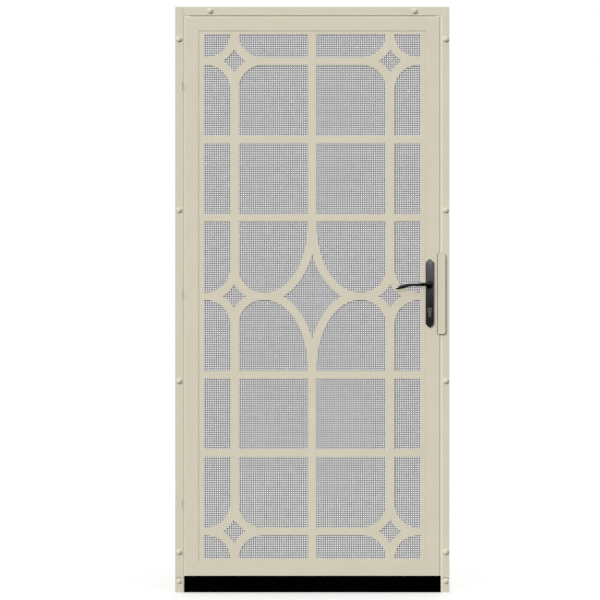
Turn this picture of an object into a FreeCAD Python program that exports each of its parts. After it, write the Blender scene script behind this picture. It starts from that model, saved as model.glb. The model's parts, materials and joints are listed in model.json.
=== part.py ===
"""Steel security screen door: a wall frame of Z-section bars and a tube leaf with a cut sheet grille.

Millimetres, +Z up, front towards -Y.  The origin is on the wall plane, at the foot of the hinge side,
in the middle of the hinge-side flange.
"""
import FreeCAD
import Part
import math
import os

# Overall size and the wall frame
OVERALL_WIDTH = 965.0
OVERALL_HEIGHT = 2061.0
JAMB_FLANGE = 26.5
HEADER_FLANGE = 28.4
FRAME_SHEET = 1.6
FRAME_BEND = 1.0
STOP_WIDTH = 19.0
LEAF_GAP = 6.6
STOP_GAP = 6.0

# Screw holes in the flanges
SCREW_HOLE = 6.5
LOWEST_SCREW = 142.5
HIGHEST_SCREW_DROP = 114.0
SCREW_ROWS = 4
HEADER_SCREW_INSET = 122.5

# Adjustable feet of the jambs
FOOT_SCREW_HEIGHT = 38.4
FOOT_ARCH = 15.0
FOOT_SEAM = 0.4
FOOT_TAB_RISE = 40.0
FOOT_TAB_LOW = 10.0
FOOT_TAB_INSET = 3.0

# Leaf tubes
TUBE_WIDTH = 50.8
TUBE_DEPTH = 25.4
TUBE_WALL = 1.6
TUBE_CORNER = 3.0
LEAF_PROUD = 1.0
LEAF_BOTTOM = 58.4

# Decorative grille, one sheet
GRILLE_SHEET = 2.5
GRILLE_RECESS = 1.0
BORDER_SIDE = 17.6
BORDER_END = 10.0
END_CELL_WIDTH = 91.8
END_CELL_TALL = 82.3
BAR_WIDTH = 30.0
CROSSBAR_WIDTH = 26.0
BARS = 3
CROSSBARS = 7
STRIP_WIDTH = 30.0
SMALL_STAR_REACH = 86.0
# Curves round the big star, as shares of the width and height of the cell they are in
BIG_STAR_SHARE = (0.614, 0.98)

# Screen mesh, its fine weave as a plain grid of openings, and the angles that clamp it
MESH_SHEET = 3.2
MESH_MARGIN = 0.5
MESH_COLUMNS = 12
MESH_OPEN_SHARE = 0.5
RETAINER_LIP = 9.0
RETAINER_DEPTH = 12.0
RETAINER_SHEET = 1.2

# Hinges
TOP_HINGE_DROP = 281.0
BOTTOM_HINGE_HEIGHT = 310.0
PIN_INSET = 6.0
PIN_BEHIND_FRONT = 6.4
PIN_RADIUS = 2.5
PIN_CLEARANCE = 0.05
PIN_HEAD_RADIUS = 4.0
PIN_HEAD = 1.5
KNUCKLE_RADIUS = 4.0
KNUCKLE_HEIGHT = 13.8
KNUCKLE_PLAY = 0.1
ARM_THICKNESS = 6.0
ARM_HEIGHT = 10.0
EAR = 5.0
EAR_CHAMFER = 2.0
CLEVIS_LENGTH = 20.0
CLEVIS_WEB = 3.0
HINGE_NOTCH_CLEARANCE = 5.0

# Lock, its edge plate and the strike
BACKSET = 36.35
LEVER_HEIGHT = 1083.2
KEY_DROP = 90.2
CASE_THICKNESS = 13.0
CASE_HEIGHT = 170.0
CASE_DROP = 45.0
CASE_END_GAP = 4.0
FACEPLATE_WIDTH = 20.0
FACEPLATE_HEIGHT = 235.0
FACEPLATE_SHEET = 2.0
LOCK_CLEARANCE = 0.3
LATCH_WIDTH = 10.0
LATCH_HEIGHT = 20.0
LATCH_LENGTH = 22.0
LATCH_BEVEL = 6.0
LATCH_DROP = 12.0
DEAD_BOLT_WIDTH = 10.0
DEAD_BOLT_HEIGHT = 34.0
DEAD_BOLT_LENGTH = 24.0
STRIKE_SHEET = 1.2
STRIKE_WIDTH = 18.0
STRIKE_MARGIN = 1.5

# Key cylinder
KEY_RADIUS = 8.5
KEY_TAIL_RADIUS = 5.0
KEY_TALL = 33.0
KEY_PROUD = 2.0
KEYWAY_WIDTH = 2.2
KEYWAY_TALL = 9.0
KEYWAY_DEEP = 10.0
STILE_LOCK_CLEARANCE = 1.5

# Handle plates
PLATE_WIDTH = 29.2
PLATE_TALL = 240.0
PLATE_TIP_RADIUS = 7.0
PLATE_SHOULDER_RADIUS = 8.0
PLATE_THICKNESS = 8.0
PLATE_BEVEL = 2.5
PLATE_CENTRE_BELOW_LEVER = 30.0

# Levers and spindle
SPINDLE = 8.0
SPINDLE_CLEARANCE = 0.1
SPINDLE_SOCKET = 18.0
SPINDLE_BORE = 12.5
COLLAR_RADIUS = 9.0
COLLAR_DEPTH = 5.0
COLLAR_CLEARANCE = 0.3
ROSE_RADIUS = 12.5
ROSE_THICKNESS = 4.0
NECK_RADIUS = 7.0
LEVER_STANDOFF = 36.0
LEVER_LENGTH = 121.5
LEVER_SIDES = 16
# Along the lever: share of its length, rise of the middle, height and depth of the section
LEVER_SECTIONS = (
    (0.0, 0.0, 13.6, 13.0),
    (0.2, 0.8, 13.0, 11.0),
    (0.38, 1.3, 14.0, 10.0),
    (0.56, 1.0, 14.8, 9.5),
    (0.67, -0.9, 17.4, 9.0),
    (0.76, -3.4, 19.4, 8.5),
    (0.86, -6.6, 18.4, 7.6),
    (0.93, -10.0, 13.4, 6.4),
    (1.0, -13.0, 5.6, 3.6),
)

# Guard plate over the latch
GUARD_WIDTH = 26.8
GUARD_TALL = 284.6
GUARD_SHEET = 2.5
GUARD_LAP = 8.2
GUARD_SPACER = 4.2
SPACER_SHOWS = 1.2
GUARD_CENTRE_BELOW_LEVER = 31.6
GUARD_INNER_CORNER = 3.0
GUARD_OUTER_CORNER = 9.0

# Bottom expander and sweep
EXPANDER_INSET = 1.0
EXPANDER_END_INSET = 0.7
EXPANDER_SHEET = 1.6
EXPANDER_BOTTOM = 14.0
SWEEP_BOTTOM = 0.5
SWEEP_TOP = 34.0
SWEEP_CLEARANCE = 0.3
SWEEP_LIP = 4.0
SWEEP_LIP_TOP = 13.0

# Places worked out from the sizes above
X_LEFT = -JAMB_FLANGE / 2
X_RIGHT = X_LEFT + OVERALL_WIDTH
X_MIDDLE = (X_LEFT + X_RIGHT) / 2
FLANGE_FRONT = -FRAME_SHEET
REVEAL_LEFT = X_LEFT + JAMB_FLANGE
REVEAL_RIGHT = X_RIGHT - JAMB_FLANGE
REVEAL_TOP = OVERALL_HEIGHT - HEADER_FLANGE
LEAF_LEFT = REVEAL_LEFT + LEAF_GAP
LEAF_RIGHT = REVEAL_RIGHT - LEAF_GAP
LEAF_TOP = REVEAL_TOP - LEAF_GAP
LEAF_FRONT = FLANGE_FRONT - LEAF_PROUD
LEAF_REAR = LEAF_FRONT + TUBE_DEPTH
STOP_FRONT = LEAF_REAR + STOP_GAP
STOP_REAR = STOP_FRONT + FRAME_SHEET
LEAF = (LEAF_LEFT, LEAF_RIGHT, LEAF_BOTTOM, LEAF_TOP)
BAY = (LEAF_LEFT + TUBE_WIDTH, LEAF_RIGHT - TUBE_WIDTH, LEAF_BOTTOM + TUBE_WIDTH, LEAF_TOP - TUBE_WIDTH)
GRILLE_FRONT = LEAF_FRONT + GRILLE_RECESS
GRILLE_REAR = GRILLE_FRONT + GRILLE_SHEET
MESH_REAR = GRILLE_REAR + MESH_SHEET
TOP_HINGE_HEIGHT = OVERALL_HEIGHT - TOP_HINGE_DROP
HINGE_HEIGHTS = {
    "top": TOP_HINGE_HEIGHT,
    "middle": (TOP_HINGE_HEIGHT + BOTTOM_HINGE_HEIGHT) / 2,
    "bottom": BOTTOM_HINGE_HEIGHT,
}
PIN_X = LEAF_LEFT + PIN_INSET
PIN_Y = LEAF_FRONT + PIN_BEHIND_FRONT
CLEVIS_HALF = KNUCKLE_HEIGHT / 2 + KNUCKLE_PLAY + EAR
LOCK_X = LEAF_RIGHT - BACKSET
KEY_HEIGHT = LEVER_HEIGHT - KEY_DROP
LOCK_Y = (LEAF_FRONT + LEAF_REAR) / 2
PLATE_HEIGHT = LEVER_HEIGHT - PLATE_CENTRE_BELOW_LEVER
FACEPLATE_BACK = LEAF_RIGHT - FACEPLATE_SHEET
EXPANDER_SPAN = (LEAF_LEFT + EXPANDER_END_INSET, LEAF_RIGHT - EXPANDER_END_INSET)
FOOT_JOINT = FOOT_SCREW_HEIGHT + math.sqrt((FOOT_ARCH + FOOT_SEAM) ** 2 - (JAMB_FLANGE / 2) ** 2)
THROUGH = 50.0


def vector(x, y, z):
    return FreeCAD.Vector(x, y, z)


def block(x, y, z):
    """Box between the low and high value of each pair."""
    return Part.makeBox(x[1] - x[0], y[1] - y[0], z[1] - z[0], vector(x[0], y[0], z[0]))


def rod_y(x, z, radius, y):
    """Round bar along Y."""
    return Part.makeCylinder(radius, y[1] - y[0], vector(x, y[0], z), vector(0, 1, 0))


def rod_z(x, y, radius, z):
    """Round bar along Z."""
    return Part.makeCylinder(radius, z[1] - z[0], vector(x, y, z[0]), vector(0, 0, 1))


def outline(points, radii):
    """Closed wire through the points, with the corner at each one rounded to its radius."""
    edges = []
    ends = []
    for i, corner in enumerate(points):
        back = (points[i - 1] - corner).normalize()
        ahead = (points[(i + 1) % len(points)] - corner).normalize()
        radius = radii[i]
        if radius == 0:
            ends.append((corner, corner))
            continue
        half = back.getAngle(ahead) / 2
        start = corner + back * (radius / math.tan(half))
        finish = corner + ahead * (radius / math.tan(half))
        inward = (back + ahead).normalize()
        middle = corner + inward * (radius / math.sin(half) - radius)
        edges.append(Part.Arc(start, middle, finish).toShape())
        ends.append((start, finish))
    for i, (start, finish) in enumerate(ends):
        following = ends[(i + 1) % len(ends)][0]
        if finish.distanceToPoint(following) > 1e-6:
            edges.append(Part.LineSegment(finish, following).toShape())
    return Part.Wire(Part.__sortEdges__(edges))


def prism(wire, along):
    return Part.Face(wire).extrude(along)


def plate(points, y, radii=None):
    """Flat piece with an outline in X and Z, from the low to the high value of y."""
    corners = [vector(px, y[0], pz) for px, pz in points]
    wire = outline(corners, radii or [0] * len(corners))
    return prism(wire, vector(0, y[1] - y[0], 0))


def rectangle(rect, y):
    """Square-cornered wire at one depth, from its left, right, low and high edge."""
    left, right, low, high = rect
    corners = [(left, low), (right, low), (right, high), (left, high)]
    return outline([vector(px, y, pz) for px, pz in corners], [0] * 4)


def sheet(edge, holes, thickness):
    """Flat sheet with holes, from the plane of its wires towards the rear."""
    face = Part.makeFace([edge] + holes, "Part::FaceMakerBullseye")
    return face.extrude(vector(0, thickness, 0))


def member_region(side, rect, width):
    """Trapezoid of one member of a mitred rectangular frame, through the whole depth."""
    left, right, low, high = rect
    shapes = {
        "left": [(left, low), (left + width, low + width), (left + width, high - width), (left, high)],
        "right": [(right, low), (right, high), (right - width, high - width), (right - width, low + width)],
        "bottom": [(left, low), (right, low), (right - width, low + width), (left + width, low + width)],
        "top": [(left, high), (left + width, high - width), (right - width, high - width), (right, high)],
    }
    return plate(shapes[side], (-THROUGH, THROUGH))


def mirrored(shape):
    """The same piece on the other side of the door."""
    return shape.mirror(vector(X_MIDDLE, 0, 0), vector(1, 0, 0))


def frame_profile(place, flange):
    """Z section of the frame; place turns a distance from the outer edge and a depth into a point."""
    corners = [
        place(0, FLANGE_FRONT),
        place(flange, FLANGE_FRONT),
        place(flange, STOP_FRONT),
        place(flange + STOP_WIDTH, STOP_FRONT),
        place(flange + STOP_WIDTH, STOP_REAR),
        place(flange - FRAME_SHEET, STOP_REAR),
        place(flange - FRAME_SHEET, 0),
        place(0, 0),
    ]
    outer = FRAME_BEND + FRAME_SHEET
    return outline(corners, [0, outer, FRAME_BEND, 0, 0, outer, FRAME_BEND, 0])


def spread(first, last, count):
    """Evenly spaced values from the first to the last."""
    return [first + (last - first) * i / (count - 1) for i in range(count)]


def screw_heights():
    return spread(LOWEST_SCREW, OVERALL_HEIGHT - HIGHEST_SCREW_DROP, SCREW_ROWS)


def jamb_bar(low, high):
    """Length of Z section on the hinge side."""
    wire = frame_profile(lambda across, depth: vector(X_LEFT + across, depth, low), JAMB_FLANGE)
    return prism(wire, vector(0, 0, high - low))


def screw_hole(x, z):
    return rod_y(x, z, SCREW_HOLE / 2, (-THROUGH, THROUGH))


def foot_tongue(clearance):
    """Round top of the foot's flange, widened by the clearance."""
    right = REVEAL_LEFT - FRAME_SHEET - FRAME_BEND + clearance
    radius = FOOT_ARCH + clearance
    depth = (FLANGE_FRONT, 0)
    strip = block((X_LEFT, right), depth, (FOOT_SCREW_HEIGHT, FOOT_SCREW_HEIGHT + radius))
    return rod_y(0, FOOT_SCREW_HEIGHT, radius, depth).common(strip)


def make_jamb():
    """Hinge-side jamb: only its flange passes the header, and its foot is arched for the extension."""
    behind = (0, THROUGH)
    stop = (REVEAL_LEFT, REVEAL_LEFT + STOP_WIDTH)
    cuts = [
        block((X_LEFT, stop[1]), behind, (REVEAL_TOP + FRAME_SHEET, OVERALL_HEIGHT)),
        block(stop, behind, (REVEAL_TOP, OVERALL_HEIGHT)),
        foot_tongue(FOOT_SEAM),
    ]
    holes = [screw_hole(0, z) for z in screw_heights()]
    return jamb_bar(FOOT_JOINT, OVERALL_HEIGHT).cut(cuts + holes)


def make_header():
    """Bar between the jambs, its stop shortened to lie between theirs."""
    wire = frame_profile(lambda across, depth: vector(REVEAL_LEFT, depth, OVERALL_HEIGHT - across), HEADER_FLANGE)
    bar = prism(wire, vector(REVEAL_RIGHT - REVEAL_LEFT, 0, 0))
    behind = (0, THROUGH)
    stop = (REVEAL_TOP - STOP_WIDTH, REVEAL_TOP)
    ends = [
        block((REVEAL_LEFT, REVEAL_LEFT + STOP_WIDTH), behind, stop),
        block((REVEAL_RIGHT - STOP_WIDTH, REVEAL_RIGHT), behind, stop),
    ]
    middle = OVERALL_HEIGHT - HEADER_FLANGE / 2
    holes = [screw_hole(x, middle) for x in (X_LEFT + HEADER_SCREW_INSET, X_RIGHT - HEADER_SCREW_INSET)]
    return bar.cut(ends + holes)


def make_jamb_extension():
    """Foot below the hinge-side jamb: round-topped flange, and a tab behind the stop of the jamb."""
    joint = FOOT_JOINT - FOOT_SEAM
    tab = block(
        (REVEAL_LEFT + FOOT_TAB_INSET, REVEAL_LEFT + STOP_WIDTH - FOOT_TAB_INSET),
        (STOP_REAR, STOP_REAR + FRAME_SHEET),
        (FOOT_TAB_LOW, joint + FOOT_TAB_RISE),
    )
    foot = jamb_bar(0, joint).fuse([foot_tongue(0), tab]).removeSplitter()
    return foot.cut(screw_hole(0, FOOT_SCREW_HEIGHT))


def tube(side, rect, width):
    """One mitred tube of the leaf."""
    left, right, low, high = rect
    upright = side in ("left", "right")
    start = {"left": left, "right": right - width, "bottom": low, "top": high - width}[side]
    length = vector(0, 0, high - low) if upright else vector(right - left, 0, 0)

    def section(inset):
        across = (start + inset, start + width - inset)
        depth = (LEAF_FRONT + inset, LEAF_REAR - inset)
        corners = [(across[0], depth[0]), (across[1], depth[0]), (across[1], depth[1]), (across[0], depth[1])]
        if upright:
            points = [vector(a, d, low) for a, d in corners]
        else:
            points = [vector(left, d, a) for a, d in corners]
        return prism(outline(points, [TUBE_CORNER - inset] * 4), length)

    return section(0).cut(section(TUBE_WALL)).common(member_region(side, rect, width))


def hinge_notch(height):
    """Opening in the edge and rear walls of the stile, for the fixed arm."""
    reach = PIN_X + ARM_THICKNESS / 2 + HINGE_NOTCH_CLEARANCE
    return block(
        (LEAF_LEFT - THROUGH, reach),
        (LEAF_FRONT + TUBE_WALL, LEAF_REAR + THROUGH),
        (height - CLEVIS_HALF, height + CLEVIS_HALF),
    )


def make_hinge_stile():
    notches = [hinge_notch(height) for height in HINGE_HEIGHTS.values()]
    return tube("left", LEAF, TUBE_WIDTH).cut(notches)


def key_profile(clearance, y):
    """Body of the key cylinder: a round barrel with a narrower tail below it."""
    tail_low = KEY_HEIGHT + KEY_RADIUS - KEY_TALL
    tail_radius = KEY_TAIL_RADIUS + clearance
    barrel = rod_y(LOCK_X, KEY_HEIGHT, KEY_RADIUS + clearance, y)
    foot = rod_y(LOCK_X, tail_low + KEY_TAIL_RADIUS, tail_radius, y)
    web = block((LOCK_X - tail_radius, LOCK_X + tail_radius), y, (tail_low + KEY_TAIL_RADIUS, KEY_HEIGHT))
    return barrel.fuse([foot, web]).removeSplitter()


def faceplate_block(clearance):
    """Space of the lock's edge plate in the wall of the stile."""
    half_width = FACEPLATE_WIDTH / 2 + clearance
    half_height = FACEPLATE_HEIGHT / 2 + clearance
    return block(
        (FACEPLATE_BACK, LEAF_RIGHT),
        (LOCK_Y - half_width, LOCK_Y + half_width),
        (PLATE_HEIGHT - half_height, PLATE_HEIGHT + half_height),
    )


def make_lock_stile():
    through = (LEAF_FRONT - THROUGH, LEAF_REAR + THROUGH)
    spindle_hole = rod_y(LOCK_X, LEVER_HEIGHT, COLLAR_RADIUS + STILE_LOCK_CLEARANCE, through)
    key_hole = key_profile(STILE_LOCK_CLEARANCE, through)
    return tube("right", LEAF, TUBE_WIDTH).cut([spindle_hole, key_hole, faceplate_block(LOCK_CLEARANCE)])


def arc_point(centre, side, reach, angle):
    """Point of an ellipse: angle 0 faces the upright bar, a quarter turn faces the crossbar."""
    x = centre[0] - side[0] * reach[0] * math.cos(angle)
    z = centre[1] - side[1] * reach[1] * math.sin(angle)
    return vector(x, GRILLE_FRONT, z)


def elliptic_arc(centre, side, reach, first, last):
    """Arc of an ellipse with half-axes reach, on the side of its centre that faces a crossing."""
    quarter = math.pi / 2
    if reach[0] == reach[1]:
        points = [arc_point(centre, side, reach, angle) for angle in (first, (first + last) / 2, last)]
        return Part.Arc(*points).toShape()
    middle = vector(centre[0], GRILLE_FRONT, centre[1])
    across = arc_point(centre, side, reach, 0)
    along = arc_point(centre, side, reach, quarter)
    if reach[0] > reach[1]:
        return Part.ArcOfEllipse(Part.Ellipse(across, along, middle), first, last).toShape()
    return Part.ArcOfEllipse(Part.Ellipse(along, across, middle), quarter - last, quarter - first).toShape()


def grille_window():
    """Clear area inside the border of the sheet: left, right, low, high."""
    left, right, low, high = BAY
    return (left + BORDER_SIDE, right - BORDER_SIDE, low + BORDER_END, high - BORDER_END)


def grille_bars():
    """Middles of the upright bars and of the crossbars."""
    left, right, low, high = grille_window()
    inset_x = END_CELL_WIDTH + BAR_WIDTH / 2
    inset_z = END_CELL_TALL + CROSSBAR_WIDTH / 2
    return spread(left + inset_x, right - inset_x, BARS), spread(low + inset_z, high - inset_z, CROSSBARS)


def grille_stars():
    """Reach of the curves round each crossing that has a star, by bar and crossbar number."""
    x_bars, z_bars = grille_bars()
    small = (SMALL_STAR_REACH, SMALL_STAR_REACH)
    middle_row = CROSSBARS // 2
    stars = {(bar, row): small for bar in (0, BARS - 1) for row in (0, middle_row, CROSSBARS - 1)}
    cell = (x_bars[1] - x_bars[0] - BAR_WIDTH, z_bars[1] - z_bars[0] - CROSSBAR_WIDTH)
    stars[(BARS // 2, middle_row)] = (BIG_STAR_SHARE[0] * cell[0], BIG_STAR_SHARE[1] * cell[1])
    return stars


def spans(low, high, centres, width):
    """Clear spans between bars of one width, from one edge of the window to the other."""
    starts = [low] + [centre + width / 2 for centre in centres]
    ends = [centre - width / 2 for centre in centres] + [high]
    return list(zip(starts, ends))


def grille_cells():
    """Each cell as its x span, z span and the reach of the curve at each corner."""
    left, right, low, high = grille_window()
    x_bars, z_bars = grille_bars()
    stars = grille_stars()
    cells = []
    for i, x_span in enumerate(spans(left, right, x_bars, BAR_WIDTH)):
        for j, z_span in enumerate(spans(low, high, z_bars, CROSSBAR_WIDTH)):
            corners = {}
            for side_x in (0, 1):
                for side_z in (0, 1):
                    star = stars.get((i - 1 + side_x, j - 1 + side_z))
                    if star:
                        width = x_span[1] - x_span[0]
                        height = z_span[1] - z_span[0]
                        corners[(side_x, side_z)] = (min(star[0], width), min(star[1], height))
            cells.append((x_span, z_span, corners))
    return cells


def cell_wire(x_span, z_span, corners):
    """Outline of a cell, with a curve at each corner that belongs to a star."""
    edges = []
    stops = []
    for side_x, side_z in ((0, 0), (1, 0), (1, 1), (0, 1)):
        x = x_span[side_x]
        z = z_span[side_z]
        reach = corners.get((side_x, side_z))
        if reach is None:
            corner = vector(x, GRILLE_FRONT, z)
            stops.append((corner, corner))
            continue
        side = (1 - 2 * side_x, 1 - 2 * side_z)
        centre = (x + side[0] * reach[0], z + side[1] * reach[1])
        edges.append(elliptic_arc(centre, side, reach, 0, math.pi / 2))
        ends = [arc_point(centre, side, reach, 0), arc_point(centre, side, reach, math.pi / 2)]
        stops.append(ends if side_x == side_z else ends[::-1])
    for i, stop in enumerate(stops):
        following = stops[(i + 1) % len(stops)][0]
        if stop[1].distanceToPoint(following) > 1e-6:
            edges.append(Part.LineSegment(stop[1], following).toShape())
    return Part.Wire(Part.__sortEdges__(edges))


def star_wire(x, z, reach):
    """Four-pointed hole at a crossing: its sides run beside the curves of the four cells."""
    from_centre = (BAR_WIDTH / 2 + reach[0], CROSSBAR_WIDTH / 2 + reach[1])
    wide = (reach[0] + STRIP_WIDTH, reach[1] + STRIP_WIDTH)
    first = math.acos(from_centre[0] / wide[0])
    last = math.asin(from_centre[1] / wide[1])
    edges = []
    for side in ((1, 1), (1, -1), (-1, -1), (-1, 1)):
        centre = (x + side[0] * from_centre[0], z + side[1] * from_centre[1])
        edges.append(elliptic_arc(centre, side, wide, first, last))
    return Part.Wire(Part.__sortEdges__(edges))


def make_grille():
    x_bars, z_bars = grille_bars()
    holes = [cell_wire(*cell) for cell in grille_cells()]
    holes += [star_wire(x_bars[i], z_bars[j], reach) for (i, j), reach in grille_stars().items()]
    return sheet(rectangle(BAY, GRILLE_FRONT), holes, GRILLE_SHEET)


def make_mesh():
    """Sheet between the tubes with square openings over the grille's window."""
    left, right, low, high = BAY
    edge = (left + MESH_MARGIN, right - MESH_MARGIN, low + MESH_MARGIN, high - MESH_MARGIN)
    left, right, low, high = grille_window()
    pitch = (right - left) / MESH_COLUMNS
    rows = round((high - low) / pitch)
    half = MESH_OPEN_SHARE * pitch / 2
    holes = []
    for x in spread(left + pitch / 2, right - pitch / 2, MESH_COLUMNS):
        for z in spread(low + pitch / 2, high - pitch / 2, rows):
            holes.append(rectangle((x - half, x + half, z - half, z + half), GRILLE_REAR))
    return sheet(rectangle(edge, GRILLE_REAR), holes, MESH_SHEET)


def make_retainer(side):
    """Angle that clamps one edge of the mesh: a lip on the mesh and a leg along the tube."""
    left, right, low, high = BAY
    upright = side in ("left", "right")
    edge = {"left": left, "right": right, "bottom": low, "top": high}[side]
    inward = 1 if side in ("left", "bottom") else -1
    corners = [
        (0, MESH_REAR),
        (RETAINER_LIP, MESH_REAR),
        (RETAINER_LIP, MESH_REAR + RETAINER_SHEET),
        (RETAINER_SHEET, MESH_REAR + RETAINER_SHEET),
        (RETAINER_SHEET, MESH_REAR + RETAINER_DEPTH),
        (0, MESH_REAR + RETAINER_DEPTH),
    ]
    if upright:
        points = [vector(edge + inward * across, depth, low) for across, depth in corners]
        bar = prism(outline(points, [0] * 6), vector(0, 0, high - low))
    else:
        points = [vector(left, depth, edge + inward * across) for across, depth in corners]
        bar = prism(outline(points, [0] * 6), vector(right - left, 0, 0))
    return bar.common(member_region(side, BAY, RETAINER_LIP))


def make_hinge_arm(height):
    """Fixed plate on the front of the stop, ending in a round knuckle on the pin."""
    half = KNUCKLE_HEIGHT / 2
    arm = block(
        (PIN_X - ARM_THICKNESS / 2, PIN_X + ARM_THICKNESS / 2),
        (PIN_Y, STOP_FRONT),
        (height - ARM_HEIGHT / 2, height + ARM_HEIGHT / 2),
    )
    knuckle = rod_z(PIN_X, PIN_Y, KNUCKLE_RADIUS, (height - half, height + half))
    bore = rod_z(PIN_X, PIN_Y, PIN_RADIUS + PIN_CLEARANCE, (height - half, height + half))
    return arm.fuse(knuckle).removeSplitter().cut(bore)


def make_hinge_clevis(height):
    """Bracket welded inside the stile: two ears with the pin's holes, joined by a web."""
    left = LEAF_LEFT + TUBE_WALL
    right = left + CLEVIS_LENGTH
    front = LEAF_FRONT + TUBE_WALL
    rear = LEAF_REAR - TUBE_WALL
    corners = [
        (left, front + EAR_CHAMFER),
        (left + EAR_CHAMFER, front),
        (right, front),
        (right, rear),
        (left + EAR_CHAMFER, rear),
        (left, rear - EAR_CHAMFER),
    ]
    points = [vector(x, y, height - CLEVIS_HALF) for x, y in corners]
    solid = prism(outline(points, [0] * 6), vector(0, 0, 2 * CLEVIS_HALF))
    gap_half = CLEVIS_HALF - EAR
    gap = block(
        (left - THROUGH, right - CLEVIS_WEB),
        (front - THROUGH, rear + THROUGH),
        (height - gap_half, height + gap_half),
    )
    radius = PIN_RADIUS + PIN_CLEARANCE
    bore = rod_z(PIN_X, PIN_Y, radius, (height - CLEVIS_HALF, height + CLEVIS_HALF))
    return solid.cut([gap, bore])


def make_hinge_pin(height):
    shank = rod_z(PIN_X, PIN_Y, PIN_RADIUS, (height - CLEVIS_HALF, height + CLEVIS_HALF))
    head = rod_z(PIN_X, PIN_Y, PIN_HEAD_RADIUS, (height + CLEVIS_HALF, height + CLEVIS_HALF + PIN_HEAD))
    return shank.fuse(head).removeSplitter()


def bolt_space(width, tall, length, height, clearance):
    """Space of a bolt behind the edge of the leaf."""
    return block(
        (LEAF_RIGHT - length - clearance, LEAF_RIGHT),
        (LOCK_Y - width / 2 - clearance, LOCK_Y + width / 2 + clearance),
        (height - tall / 2 - clearance, height + tall / 2 + clearance),
    )


def latch_space(clearance):
    return bolt_space(LATCH_WIDTH, LATCH_HEIGHT, LATCH_LENGTH, LEVER_HEIGHT - LATCH_DROP, clearance)


def dead_bolt_space(clearance):
    height = KEY_HEIGHT
    return bolt_space(DEAD_BOLT_WIDTH, DEAD_BOLT_HEIGHT, DEAD_BOLT_LENGTH, height, clearance)


def make_faceplate():
    holes = [latch_space(LOCK_CLEARANCE), dead_bolt_space(LOCK_CLEARANCE)]
    return faceplate_block(0).cut(holes)


def make_lock_case():
    middle = LEVER_HEIGHT - CASE_DROP
    through = (LOCK_Y - CASE_THICKNESS / 2, LOCK_Y + CASE_THICKNESS / 2)
    case = block(
        (LEAF_RIGHT - TUBE_WIDTH + TUBE_WALL + CASE_END_GAP, FACEPLATE_BACK),
        through,
        (middle - CASE_HEIGHT / 2, middle + CASE_HEIGHT / 2),
    )
    spindle_bore = rod_y(LOCK_X, LEVER_HEIGHT, SPINDLE_BORE / 2, through)
    key_bore = key_profile(LOCK_CLEARANCE, through)
    pockets = [latch_space(LOCK_CLEARANCE), dead_bolt_space(LOCK_CLEARANCE)]
    return case.cut([spindle_bore, key_bore] + pockets)


def make_latch_bolt():
    """Latch with its slope on the stop side, drawn back flush with the edge."""
    bolt = latch_space(0)
    rear = LOCK_Y + LATCH_WIDTH / 2
    slope = [
        vector(LEAF_RIGHT, rear, 0),
        vector(LEAF_RIGHT - LATCH_BEVEL, rear, 0),
        vector(LEAF_RIGHT, rear - LATCH_BEVEL, 0),
    ]
    wedge = prism(outline(slope, [0] * 3), vector(0, 0, OVERALL_HEIGHT))
    return bolt.cut(wedge)


def make_dead_bolt():
    return dead_bolt_space(0)


def plate_front(outside):
    """Depths of a handle plate, from the face of the leaf outwards."""
    if outside:
        return (LEAF_FRONT - PLATE_THICKNESS, LEAF_FRONT)
    return (LEAF_REAR, LEAF_REAR + PLATE_THICKNESS)


def make_escutcheon(outside):
    """Handle plate with rounded square-angled points at its ends and a bevelled face."""
    depth = plate_front(outside)
    half_width = PLATE_WIDTH / 2
    point = PLATE_TALL / 2 + PLATE_TIP_RADIUS * (math.sqrt(2) - 1)
    shoulder = point - half_width
    corners = [
        (-half_width, -shoulder),
        (0, -point),
        (half_width, -shoulder),
        (half_width, shoulder),
        (0, point),
        (-half_width, shoulder),
    ]
    points = [(LOCK_X + x, PLATE_HEIGHT + z) for x, z in corners]
    radii = [PLATE_SHOULDER_RADIUS, PLATE_TIP_RADIUS, PLATE_SHOULDER_RADIUS] * 2
    body = plate(points, depth, radii)
    face = depth[0] if outside else depth[1]
    rim = [edge for edge in body.Edges if abs(edge.BoundBox.YMin - face) + abs(edge.BoundBox.YMax - face) < 1e-6]
    body = body.makeChamfer(PLATE_BEVEL, rim)
    collar_hole = rod_y(LOCK_X, LEVER_HEIGHT, COLLAR_RADIUS + COLLAR_CLEARANCE, depth)
    return body.cut([collar_hole, key_profile(LOCK_CLEARANCE, depth)])


def make_key_cylinder():
    front = plate_front(True)[0] - KEY_PROUD
    rear = plate_front(False)[1] + KEY_PROUD
    body = key_profile(0, (front, rear))
    across = (LOCK_X - KEYWAY_WIDTH / 2, LOCK_X + KEYWAY_WIDTH / 2)
    tall = (KEY_HEIGHT - KEYWAY_TALL / 2, KEY_HEIGHT + KEYWAY_TALL / 2)
    keyways = [block(across, (front, front + KEYWAY_DEEP), tall), block(across, (rear - KEYWAY_DEEP, rear), tall)]
    return body.cut(keyways)


def lever_section(share, rise, tall, deep, y):
    """Many-sided oval section of the lever, upright across its length."""
    centre = vector(LOCK_X - share * LEVER_LENGTH, y, LEVER_HEIGHT + rise)
    turns = [2 * math.pi * (i + 0.5) / LEVER_SIDES for i in range(LEVER_SIDES)]
    corners = [centre + vector(0, deep / 2 * math.cos(turn), tall / 2 * math.sin(turn)) for turn in turns]
    return Part.makePolygon(corners + corners[:1])


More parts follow.
